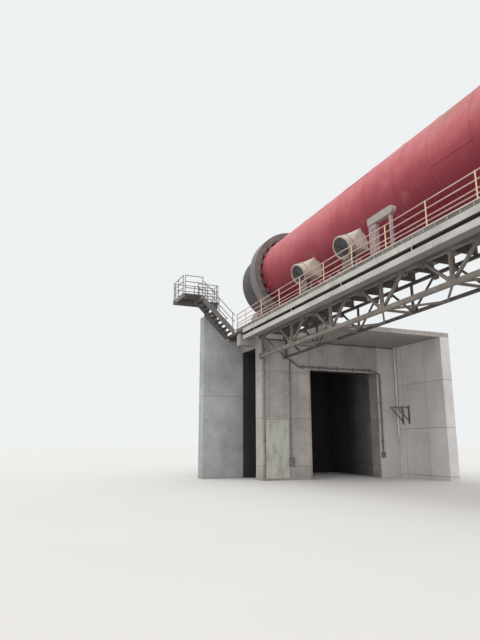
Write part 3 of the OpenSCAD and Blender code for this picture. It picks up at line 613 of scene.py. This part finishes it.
# Kiln shell
# Plate rolled into courses of two metres and welded round, painted with matt red heat-resisting paint.
# Its upper side is painted lighter as painted light from above, and pinker with dust that is partly painted light
# too; the lower side stays crimson, and dark runs come down from old leaks.
shell_r, shell_from, shell_to = 2.2, -3.2, 27.6
course, first_seam = 2.05, 0.15
paint = Finish("kiln_red")
along, up = down_slope(paint, axis_z)
radius = (paint.y * paint.y + up * up).root()
turn = paint.y.angle_to(up)
outside = paint.between(radius, shell_r - 0.03, shell_r - 0.01)
clouds = paint.noise(0.5, 7)
mottle = paint.noise(2.4, 7, rough=0.7)
patchy = paint.noise(1.1, 6, rough=0.7)
grain = paint.noise(24, 6, rough=0.7)
wrapped = paint.vector(along * 1.1, turn * 0.9, 0.0)
drips = paint.patches(0.52, 0.74, 1.0, 5, (2.6, 0.7, 1), at=wrapped)
fine_drips = paint.patches(0.56, 0.72, 1.0, 4, (9, 0.6, 1), at=wrapped)
scuffs = paint.patches(0.64, 0.72, 5.5, 6, rough=0.8)
course_tone = paint.node("ShaderNodeTexWhiteNoise", {"noise_dimensions": "1D"},
                         {"W": ((along - first_seam) / course).floor()})
seams = paint.lines(along - first_seam, course, 0.05) * paint.between(paint.face_z, 0.3, -0.5)
# Pink dust on what faces up, which also stands in for painted light from above.
dust = paint.between(paint.face_z + (clouds - 0.5) * 1.3 + (mottle - 0.5) * 0.5, -0.3, 1.0)
stain_x = (along - 13.6) / 1.7
stain_turn = (turn + 0.55) / 0.75
stain = (stain_x * stain_x + stain_turn * stain_turn).root() + (patchy - 0.5) * 3.2
# The first coat lightens the faces that look up, as painted light.
colour = paint.coats(
    tone(134, 36, 50),
    (paint.between(paint.face_z + (clouds - 0.5) * 0.6, -0.75, 0.45), tone(178, 70, 80)),
    (dust * 0.72, tone(208, 142, 144)),
    (paint.between(patchy, 0.52, 0.70) * 0.3, tone(132, 54, 62)),
    (paint.between(patchy, 0.46, 0.30) * 0.12, tone(214, 158, 158)))
colour = paint.coats(
    paint.shade(colour, 0.92 + course_tone * 0.05 + grain * 0.10),
    (paint.between(stain, 1.25, 0.3) * 0.5, tone(146, 118, 92)),
    (drips * 0.28, tone(116, 66, 66)),
    (fine_drips * 0.20, tone(206, 150, 148)),
    (seams * 0.3, tone(110, 50, 56)),
    (scuffs * 0.35, tone(118, 74, 66)))
bare = paint.blend(paint.between(mottle, 0.35, 0.7), tone(84, 72, 66), tone(128, 112, 102))
kiln_red = paint.paint(paint.blend(outside, bare, colour), 0.62 + dust * 0.25,
                       height=grain * 0.3 + mottle * 0.5 - scuffs * 0.2, depth=0.006)
dress(["shell"], kiln_red)

bead, tyre_half = 0.018, 0.6
seam_places = np.arange(-2, 14) * course + first_seam
seam_places = seam_places[(seam_places > shell_from) & (seam_places < shell_to)
                          & (np.abs(seam_places - supports[0]) > tyre_half)
                          & (np.abs(seam_places - supports[1]) > tyre_half)]
half_round = np.linspace(np.pi, 0, 5)
bead_profile = np.column_stack([np.cos(half_round) * bead * 1.4, shell_r - 0.004 + np.sin(half_round) * bead])
welds = [revolved(bead_profile + (place, 0), axis_at, axis) for place in seam_places]
rim = shell_r + 0.002
for place, start in zip(seam_places, np.radians(np.arange(len(seam_places)) * 137.5)):
    meets_tyre = shell_from < place < -1.5 or 20.6 < place < 24.4
    if place + course < shell_to and not meets_tyre:
        spot = (place, -rim * math.sin(start), rim * math.cos(start))
        welds.append(rods(*slope_span(axis_z, spot, (course, 0, 0)), 0.016, 6))
make_piece("shell_welds", welds, kiln_red, "kiln", smooth=True)

# New shell section
# Fresh plate, rolled and welded, dark shop primer outside and bare mill scale inside. Its seat is the open
# end of the old shell, where it is held by fit-up clamps and tack welds until it is welded round.
primer = Finish("primed_steel")
along, up = down_slope(primer, axis_z)
radius = (primer.y * primer.y + up * up).root()
turn = primer.y.angle_to(up)
outside = primer.between(radius, shell_r - 0.01, shell_r - 0.004)
inside = primer.between(radius, shell_r - 0.05, shell_r - 0.056)
clouds = primer.noise(0.9, 7)
mottle = primer.noise(3.6, 8, rough=0.75)
grain = primer.noise(28, 6, rough=0.75)
cloudy = primer.between(clouds, 0.3, 0.7)
scale = primer.between(mottle + (clouds - 0.5) * 0.5, 0.42, 0.62)
weld = primer.lines(along + 4.1, 3.0, 0.03) * inside
brown = primer.patches(0.56, 0.74, 1.8, 6, rough=0.75)
smudges = primer.patches(0.55, 0.75, 1.0, 5, (2, 0.4, 1), at=primer.vector(along * 2, turn, 0.0))
bare = primer.coats(tone(118, 115, 112), (scale, tone(150, 148, 144)), (cloudy * 0.5, tone(132, 130, 126)),
                    (brown * 0.5, tone(116, 98, 86)), (weld * 0.7, tone(70, 66, 66)))
coat = primer.coats(tone(58, 54, 58), (cloudy, tone(84, 77, 82)), (smudges * 0.5, tone(104, 92, 96)))
rim = primer.blend(scale, tone(84, 80, 78), tone(108, 103, 98))
colour = primer.coats(rim, (outside, coat), (inside, bare))
primed_steel = primer.paint(primer.shade(colour, 0.88 + grain * 0.24), 0.5 + mottle * 0.3, inside * 0.25,
                            grain * 0.4 + mottle * 0.4 + weld * 0.5, 0.004)
dress(["new_section"], primed_steel)

joint_at, clamp_count = -3.4, 12
clamp_r = shell_r + 0.05
clamp_half, screw_x = 0.28, 0.12
clamp_parts = []
for clamp_turn in np.radians(np.arange(clamp_count) * 360 / clamp_count + 15):
    out = np.array([0.0, -math.sin(clamp_turn), math.cos(clamp_turn)])
    tangent = (0.0, -math.cos(clamp_turn), -math.sin(clamp_turn))
    clamp = out * clamp_r + (joint_at, 0, 0)
    plate_ends = slope_span(axis_z, clamp, (clamp_half, 0, 0), (-clamp_half, 0, 0))
    screw = on_slope(axis_z, [clamp + out * 0.02, clamp + out * 0.16]) + axis * screw_x
    clamp_parts.append(bars(*plate_ends, 0.03, 0.1, tangent))
    clamp_parts.append(rods(screw[:1], screw[1:], 0.018, 8))
    clamp_parts.append(rods(screw[1:] - out * 0.03, screw[1:], 0.034, 6))
clamp_steel = dusty_steel("clamp_steel", tone(96, 88, 84), tone(132, 120, 112), 0.6)
make_piece("fit_up_clamps", clamp_parts, clamp_steel, "kiln")

# Walkway edge
# Two rolled channels with a gap between carry the walkway's outer edge. A toe plate with a bent lip runs
# along it on short brackets, web plates join the channels, and splice plates with bolts carry them on.
deck_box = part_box("deck")
deck_z = deck_box[1][2] - (deck_box[1][0] - front_x) * slope_z / slope_x
deck_t, channel_h, channel_gap = 0.03, 0.22, 0.15
lower_top = -deck_t - channel_h - channel_gap
edge_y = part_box("edge_girder")[0][1]
edge = Finish("edge_steel")
height = down_slope(edge, deck_z)[1]
deep = edge.between(edge.y, edge_y + 0.002, edge_y + 0.03) * edge.between(edge.y, edge_y + 0.2, edge_y + 0.12)
# The web inside the slot between the two channels is painted near black, as painted shade.
painted_slot_shade = deep * edge.between(height, -0.405, -0.395) * edge.between(height, -0.245, -0.255)
clouds = edge.noise(1.4, 7, (0.5, 1, 1))
grain = edge.noise(20, 6, rough=0.7)
# The last coat darkens the faces that look down, as painted shade.
colour = edge.coats(
    tone(168, 166, 163), (edge.between(clouds, 0.3, 0.7), tone(194, 190, 184)),
    (edge.patches(0.56, 0.76, 5.5, 4, (1, 1, 0.12)) * 0.4, tone(132, 126, 120)),
    (edge.patches(0.62, 0.70, 5, 8, (0.6, 1, 0.6), rough=0.75) * 0.3, tone(120, 88, 70)),
    (edge.between(edge.face_z, -0.5, -0.8) * 0.75, tone(98, 91, 88)))
colour = edge.blend(painted_slot_shade, edge.shade(colour, 0.88 + grain * 0.22), tone(22, 20, 20))
edge_steel = edge.paint(colour, 0.7 + clouds * 0.2, height=grain * 0.4 + clouds * 0.5, depth=0.004)
dress(["edge_girder"], edge_steel)

walk_from, walk_to = -0.25, 21.95
kerb_from, kerb_low = -1.35, 0.12
kerb = Finish("kerb_steel", roughness=0.7)
clouds = kerb.noise(2.6, 7, (0.5, 1, 1))
# The lip is painted far lighter than the rest of the kerb, as painted light.
painted_lip_light = kerb.between(down_slope(kerb, deck_z)[1], kerb_low - 0.006, kerb_low + 0.002)
colour = kerb.coats(tone(112, 106, 102), (kerb.between(clouds, 0.35, 0.65), tone(146, 138, 132)),
                    (painted_lip_light, kerb.blend(clouds, tone(204, 190, 180), tone(216, 206, 196))))
dress(["kerb"], kerb.paint(kerb.shade(colour, 0.86 + kerb.noise(24, 5) * 0.24), height=clouds, depth=0.004))

splice_half, web_pitch, tab_pitch, tab_low = 0.2, 4.1, 0.5125, -0.026
splices = np.arange(2.9, walk_to - 1, 5.9)
edge_parts = []
for middle in (-deck_t - channel_h / 2, lower_top - channel_h / 2):
    spots = [(place, edge_y - 0.002, middle) for place in splices]
    ends = slope_span(deck_z, spots, (splice_half, 0, 0), (-splice_half, 0, 0))
    heads = on_slope(deck_z, [(place + dx, edge_y - 0.01, middle + dz) for place in splices
                              for dx in (-0.14, -0.05, 0.05, 0.14) for dz in (-0.05, 0.05)])
    edge_parts.append(bars(*ends, 0.016, 0.17))
    edge_parts.append(rods(*span(heads, (0, -0.014, 0)), 0.014, 6))
webs = [(place, edge_y + 0.045, lower_top) for place in np.arange(1.3, walk_to, web_pitch)]
tabs = [(place, edge_y + 0.03, tab_low) for place in np.arange(kerb_from + 0.16, walk_to, tab_pitch)]
edge_parts.append(bars(*slope_span(deck_z, webs, (0, 0, channel_gap)), 0.09, 0.03))
edge_parts.append(bars(*slope_span(deck_z, tabs, (0, 0, kerb_low - tab_low)), 0.05, 0.012))
make_piece("edge_plates", edge_parts, edge_steel)

# Deck, joists and rails
# Chequered plate on angle joists, and a handrail of round posts and four tubes in faded pinkish cream.
# The posts stand on small base plates with two bolts each.
plate = Finish("deck_plate")
lug_pitch = 0.05
waves = [abs((place / lug_pitch).fraction() - 0.5) for place in (plate.x + plate.y, plate.x - plate.y)]
flat = plate.between(abs(plate.face_z), 0.5, 0.8)
lugs = plate.between(waves[0] + waves[1], 0.42, 0.30) * flat
clouds = plate.noise(1.4, 6)
dust = plate.between(clouds, 0.3, 0.65)
colour = plate.coats(tone(98, 92, 88), (dust, tone(140, 131, 122)),
                     (plate.patches(0.6, 0.72, 3.4, 7) * 0.6, tone(104, 74, 58)))
dress(["deck"], plate.paint(plate.shade(colour, 0.88 + lugs * 0.2), 0.55 + dust * 0.35, (1 - dust) * 0.4,
                            lugs * 0.7 + clouds * 0.2, 0.004))
# A darker copy of the truss steel, as painted shade, for the joists, inner truss and landing frame under the
# deck.
shaded_under_steel = dusty_steel("shaded_under_steel", tone(84, 78, 75), tone(112, 102, 96), 0.35, 0.7, 0.15)
truss_steel = dusty_steel("truss_steel", tone(122, 114, 108), tone(152, 142, 134), 0.25, 0.7, 0.1)
dress(["joists", "inner_truss", "landing_frame"], shaded_under_steel)
dress(["outer_truss", "truss_ties"], truss_steel)

post_first, post_pitch = walk_from + 0.15, 2.05
rail = Finish("rail_cream")
clouds = rail.noise(1.1, 5)
chips = rail.patches(0.60, 0.66, 9, 6, rough=0.75)
post = rail.lines(down_slope(rail, deck_z)[0] - post_first, post_pitch, 0.04)
colour = rail.coats(tone(188, 150, 146), (rail.between(clouds, 0.35, 0.65), tone(198, 168, 160)),
                    (post, tone(222, 202, 168)), (chips * 0.7, tone(130, 92, 76)))
rail_cream = rail.paint(colour, 0.55 + clouds * 0.3, height=chips * -1.0, depth=0.002)
dress(["handrail"], rail_cream)
post_at = np.append(np.arange(post_first, walk_to - 0.3, post_pitch), walk_to - 0.044)
feet = np.column_stack([post_at, np.full(len(post_at), edge_y + 0.12), np.zeros(len(post_at))])
foot_bolts = np.concatenate([feet + (shift, 0, 0.012) for shift in (-0.055, 0.055)])
make_piece("rail_feet", [bars(*slope_span(deck_z, feet, (0, 0, 0.014)), 0.09, 0.16),
                         rods(*slope_span(deck_z, foot_bolts, (0, 0, 0.02)), 0.013, 6)],
           rail_cream)

# Stub rail
# A low rail left over from older fans: short square posts and one tube between the fans and the
# walkway's edge, welded to the deck.
stub_at, stub_h = (7.62, 8.42, 9.05, 10.28, 10.55), (0.40, 0.36, 0.40, 0.42, 0.40)
stub_feet = [(place, edge_y + 0.22, 0.0) for place in stub_at]
stub_tops = np.array([(0.0, 0.0, top) for top in stub_h])
stub_start, stub_l = (stub_at[0], edge_y + 0.26, 0.3), stub_at[-1] - stub_at[0]
stub_pink = dusty_steel("stub_pink", tone(196, 150, 152), tone(204, 172, 166), 0.2, 0.6, 0.0)
make_piece("stub_rail", [bars(*slope_span(deck_z, stub_feet, stub_tops), 0.05, 0.05),
                         bars(*slope_span(deck_z, stub_feet, (0, 0, 0.012)), 0.12, 0.12),
                         rods(*slope_span(deck_z, stub_start, (stub_l, 0, 0)), 0.018)],
           stub_pink)

# Truss joints
# Gusset plates are welded where the braces meet the chords, with bolts through the lighter members,
# and end plates close the chords at the pier.
truss_h, pitch, brace_run, joist_h = 1.12, 3.55, 1.3, 0.3
under_joists = -deck_t - joist_h
low_joints = np.arange(pitch, walk_to - pitch / 2, pitch)
gusset_parts = []
for node_name, chord in (("outer_truss", 0.16), ("inner_truss", 0.11)):
    truss_top = under_joists - chord / 2
    truss_low = truss_top - truss_h
    middle_y = (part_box(node_name)[0][1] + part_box(node_name)[1][1]) / 2
    rows = ((0, truss_low + 0.13, 0.2), (-brace_run, truss_top - 0.12, 0.13), (brace_run, truss_top - 0.12, 0.13))
    joints = np.array([(place + shift, level, reach) for shift, level, reach in rows for place in low_joints])
    joints = joints[(joints[:, 0] > 0.4) & (joints[:, 0] < 21.3)]
    for outward in (-1, 1):
        plane = middle_y + outward * (chord / 2 - 0.004)
        middle = np.column_stack([joints[:, 0], np.full(len(joints), plane), joints[:, 1]])
        half = joints[:, 2:] * (1, 0, 0)
        heads = on_slope(deck_z, np.concatenate([middle + (dx, 0, dz) for dx in (-0.09, 0.09)
                                                 for dz in (-0.02, chord * 0.4)]))
        gusset_parts.append(bars(*slope_span(deck_z, middle, half, -half), 0.014, chord * 1.3))
        gusset_parts.append(rods(*span(heads, (0, outward * 0.022, 0)), 0.016, 6))
    ends = [(0.03, middle_y, z) for z in (truss_low, truss_top)]
    gusset_parts.append(bars(*slope_span(deck_z, ends, (0.03, 0, 0)), chord * 2, chord * 2))
make_piece("truss_gussets", gusset_parts, truss_steel)

# Cooling fans
# Axial fans in sheet-steel casings blow air at the shell. The round inlet has a bell mouth and a wire guard,
# behind it turn six twisted blades on a hub, and the casing goes over to a square nozzle. Plates carry them.
fan_paint = Finish("fan_beige")
clouds = fan_paint.noise(2.2, 6)
grain = fan_paint.noise(30, 5)
dust = fan_paint.between(clouds + fan_paint.face_z * 0.4, 0.35, 0.9)
rust = fan_paint.patches(0.60, 0.70, 6, 7, (1, 1, 0.5), rough=0.75)
# Faces that look down are painted darker and pinker, as painted shade.
under = fan_paint.between(fan_paint.face_z + (clouds - 0.5) * 0.5, -0.1, -0.6)
colour = fan_paint.coats(tone(184, 174, 158), (dust, tone(204, 196, 184)), (under * 0.7, tone(150, 116, 108)),
                         (rust * 0.55, tone(128, 84, 62)))
fan_beige = fan_paint.paint(fan_paint.shade(colour, 0.9 + grain * 0.18), 0.6 + dust * 0.25,
                            height=grain * 0.3 + dust * 0.3 - rust * 0.4, depth=0.003)
stand_steel = dusty_steel("stand_steel", tone(108, 102, 97), tone(138, 128, 120), 0.35, 0.7, 0.1)
dress(["fan_nozzles", "fan_casings"], fan_beige)
dress(["fan_stands"], stand_steel)


def turned(x_angle=0, z_angle=0):
    """The matrix that turns a point by an angle about X and then by an angle about Z, in degrees."""
    a, b = math.radians(x_angle), math.radians(z_angle)
    about_x = np.array([[1, 0, 0], [0, math.cos(a), -math.sin(a)], [0, math.sin(a), math.cos(a)]])
    about_z = np.array([[math.cos(b), -math.sin(b), 0], [math.sin(b), math.cos(b), 0], [0, 0, 1]])
    return about_z @ about_x


fan_r, fan_l, opening_r, casing_l, nozzle_l, outlet = 0.465, 0.3, 0.435, 0.57, 0.4, 0.42
fan_up, fan_set, fan_tilt, fan_turn = 1.5, 0.6, 24, 6
fan_places = (5.08, 5.08 + 3.69)
fan_x, fan_y, fan_axis = np.eye(3)
wire_r, ring_pitch, guard_z = 0.005, 0.015, 0.012
wire_turn = np.linspace(np.pi, -np.pi, 7)[:-1]
wire = np.column_stack([np.cos(wire_turn), np.sin(wire_turn)]) * wire_r
spokes = around(fan_x, fan_y, 16)
guard = [revolved(wire + (0.0, r), (0, 0, 0.004), fan_axis, 48) for r in np.arange(0.05, opening_r, ring_pitch)]
guard.append(rods(spokes * 0.05 + (0, 0, guard_z), spokes * (opening_r - 0.01) + (0, 0, guard_z), 0.006, 6))

mouth_turn = np.linspace(0, np.pi, 7)
mouth = np.column_stack([-np.sin(mouth_turn) * 0.03, opening_r + 0.02 + np.cos(mouth_turn) * 0.04])[::-1]
heads = around(fan_x, fan_y, 16, start=0.2) * (fan_r + 0.022)
flange = [revolved(mouth, (0, 0, 0), fan_axis, 64)]
for level in (0.04, fan_l):
    flange.append(rods(*span(heads, (0, 0, level + 0.016), (0, 0, level)), 0.010, 6))
casing_end = fan_l + casing_l
nozzle_end = casing_end + nozzle_l
for low, high, half in ((casing_end - 0.03, casing_end + 0.03, fan_r + 0.012),
                        (nozzle_end - 0.05, nozzle_end - 0.005, outlet / 2 + 0.025)):
    square = np.array([(-half, -half), (half, -half), (half, half), (-half, half)])
    corners = np.column_stack([square, np.full(4, (low + high) / 2)])
    flange.append(bars(corners, np.roll(corners, -1, 0), high - low, 0.03, fan_axis))

blade_root, blade_tip, blade_half, blade_t, rows, columns = 0.08, opening_r - 0.03, 0.085, 0.006, 6, 5
reach_out = np.linspace(blade_root, blade_tip, rows)[:, None]
chord_at = np.linspace(-1, 1, columns)[None]
twist = np.radians(50 - 28 * (reach_out - blade_root) / (opening_r - 0.11))
wide = chord_at * blade_half * np.cos(twist)
deep = 0.034 + chord_at * 0.014 * np.sin(twist) + 0.006 * (1 - chord_at ** 2)
top = np.stack([wide, np.broadcast_to(reach_out, wide.shape), deep], -1).reshape(-1, 3)
blade = np.concatenate([top, top + (0, 0, blade_t)])
spot = np.arange(rows * columns).reshape(rows, columns)
skin = np.stack([spot[:-1, :-1], spot[1:, :-1], spot[1:, 1:], spot[:-1, 1:]], -1).reshape(-1, 4)
border = np.concatenate([spot[0, :-1], spot[:-1, -1], spot[-1, :0:-1], spot[:0:-1, 0]])
after = np.roll(border, -1)
rim_faces = np.stack([border, after, after + spot.size, border + spot.size], 1)
blade_faces = [skin, skin[:, ::-1] + spot.size, rim_faces]
wheel = [revolved([(0.05, 0.0001), (0.03, 0.09), (0.055, 0.11), (0.058, 0.0001)], (0, 0, 0), fan_axis, 24)]
wheel.extend((blade @ turned(0, angle).T, blade_faces) for angle in range(0, 360, 60))

stand_half, stand_near, stand_far, rib_in = 0.3255, 0.2, 0.52, 0.02
stand_y = np.array([stand_near - 0.004, stand_far + 0.004]) + edge_y + fan_set
guards, wheels, flanges, stand_parts = [], [], [], []
for at in fan_places:
    for made, fan_parts in ((guards, guard), (wheels, wheel), (flanges, flange)):
        for points, faces in fan_parts:
            tilted = points @ turned(fan_tilt - 90, fan_turn).T
            made.append((on_slope(deck_z, tilted + (at, edge_y + fan_set, fan_up)), faces))
    ribs = [(at + dx, y, 0.0) for dx in (rib_in - stand_half, 0.0, stand_half - rib_in) for y in stand_y]
    rims = [(at, y, 0.012) for y in stand_y]
    bolts = [(at + dx, y + out, 0.02) for dx in (-0.24, 0.0, 0.24) for y, out in zip(stand_y, (-0.035, 0.035))]
    stand_parts.append(bars(*slope_span(deck_z, ribs, (0, 0, 0.7)), 0.035, 0.03))
    stand_parts.append(bars(*slope_span(deck_z, rims, (stand_half, 0, 0), (-stand_half, 0, 0)), 0.12, 0.016))
    stand_parts.append(rods(*slope_span(deck_z, bolts, (0, 0, 0.03)), 0.016, 6))
make_piece("fan_guards", guards, dusty_steel("fan_grey", tone(84, 88, 88), tone(104, 104, 100), 0.2, 0.6, 0.2),
           smooth=True)
make_piece("fan_wheels", wheels, dusty_steel("fan_dark", tone(34, 34, 35), tone(44, 43, 42), 0.1, 0.7, 0.0))
make_piece("fan_flanges", flanges, fan_beige)
make_piece("stand_ribs", stand_parts, stand_steel)

# Cabinet and its canopy
# A folded-steel control cabinet with one door, three hinges, a handle and louvres, beside a small portal of
# bent sheet on two square posts.
cabinet_paint = dusty_steel("cabinet_paint", tone(158, 138, 138), tone(172, 154, 150), 0.2, 0.5, 0.0)
canopy_paint = dusty_steel("canopy_paint", tone(154, 145, 138), tone(176, 167, 160), 0.25, 0.6, 0.0)
dress(["cabinet"], cabinet_paint)
dress(["cabinet_canopy"], canopy_paint)
cabinet_w, cabinet_h, slat_pitch = 0.3, 1.56, 0.035
door = np.array([10.95 + cabinet_w / 2, edge_y + 0.47 - 0.008, cabinet_h * 0.5])
door_half = cabinet_h / 2 - 0.03
slat_z = np.concatenate([np.arange(-0.66, -0.44, slat_pitch), np.arange(0.46, 0.66, slat_pitch)])
slats = door + np.array([(0, -0.014, z) for z in slat_z])
hinges = door + np.array([(-0.135, -0.014, z) for z in (-0.5, 0.0, 0.5)])
handle = door + (0.1, -0.03, 0.05)
make_piece("cabinet_door", [
    bars(*slope_span(deck_z, door, (0, 0, door_half), (0, 0, -door_half)), 0.02, cabinet_w - 0.04),
    bars(*slope_span(deck_z, slats, (0.09, 0, 0), (-0.09, 0, 0)), 0.014, 0.016),
    rods(*slope_span(deck_z, hinges, (0, 0, 0.04), (0, 0, -0.04)), 0.012, 8),
    rods(*slope_span(deck_z, handle, (0, 0, 0.07), (0, 0, -0.07)), 0.012, 8),
], cabinet_paint)

# Floor, sky and lamps
# A pale floor under a white backdrop, an overcast sky, one wide lamp from above the yard
# and a second, wider and lower, from the side of the discharge end's front.
floor_finish = Finish("floor_pale", roughness=0.95)
floor_finish.paint(floor_finish.blend(floor_finish.noise(0.25, 4), tone(214, 212, 209), tone(220, 218, 215)))
reach = 260
corners = [(-reach, -reach, 0), (reach, -reach, 0), (reach, reach, 0), (-reach, reach, 0)]
floor_mesh = bpy.data.meshes.new("floor")
floor_mesh.from_pydata(corners, [], [(0, 1, 2, 3)])
floor_mesh.materials.append(floor_finish.material)
floor = bpy.data.objects.new("floor", floor_mesh)
bpy.context.collection.objects.link(floor)

world = bpy.data.worlds.new("overcast")
bpy.context.scene.world = world
world.use_nodes = True
sky = Nodes(world.node_tree)
upward = sky.parts(sky.node("ShaderNodeTexCoord", output="Generated"))[2]
haze = sky.node("ShaderNodeValToRGB", {"stops": [(0.0, (0.62, 0.64, 0.66, 1)), (0.9, (1.0, 1.0, 1.0, 1))]},
                {0: upward})
seen, through, mirrored = (sky.node("ShaderNodeLightPath", output="Is %s Ray" % kind)
                           for kind in ("Camera", "Transmission", "Glossy"))
backdrop = sky.blend(seen.most(through).most(mirrored), haze, (0.86, 0.88, 0.89, 1))
background = sky.tree.nodes["Background"]
sky.tree.links.new(backdrop.socket, background.inputs["Color"])
background.inputs["Strength"].default_value = 1.0
for name, energy, spread, tilt, heading in (("high_lamp", 0.65, 60, 28, -30), ("low_lamp", 1.2, 100, 68, 56)):
    lamp = bpy.data.objects.new(name, bpy.data.lights.new(name, "SUN"))
    lamp.data.energy = energy
    lamp.data.angle = math.radians(spread)
    lamp.rotation_euler = (math.radians(tilt), 0, math.radians(heading))
    bpy.context.collection.objects.link(lamp)
bpy.context.scene.view_settings.view_transform = "Standard"
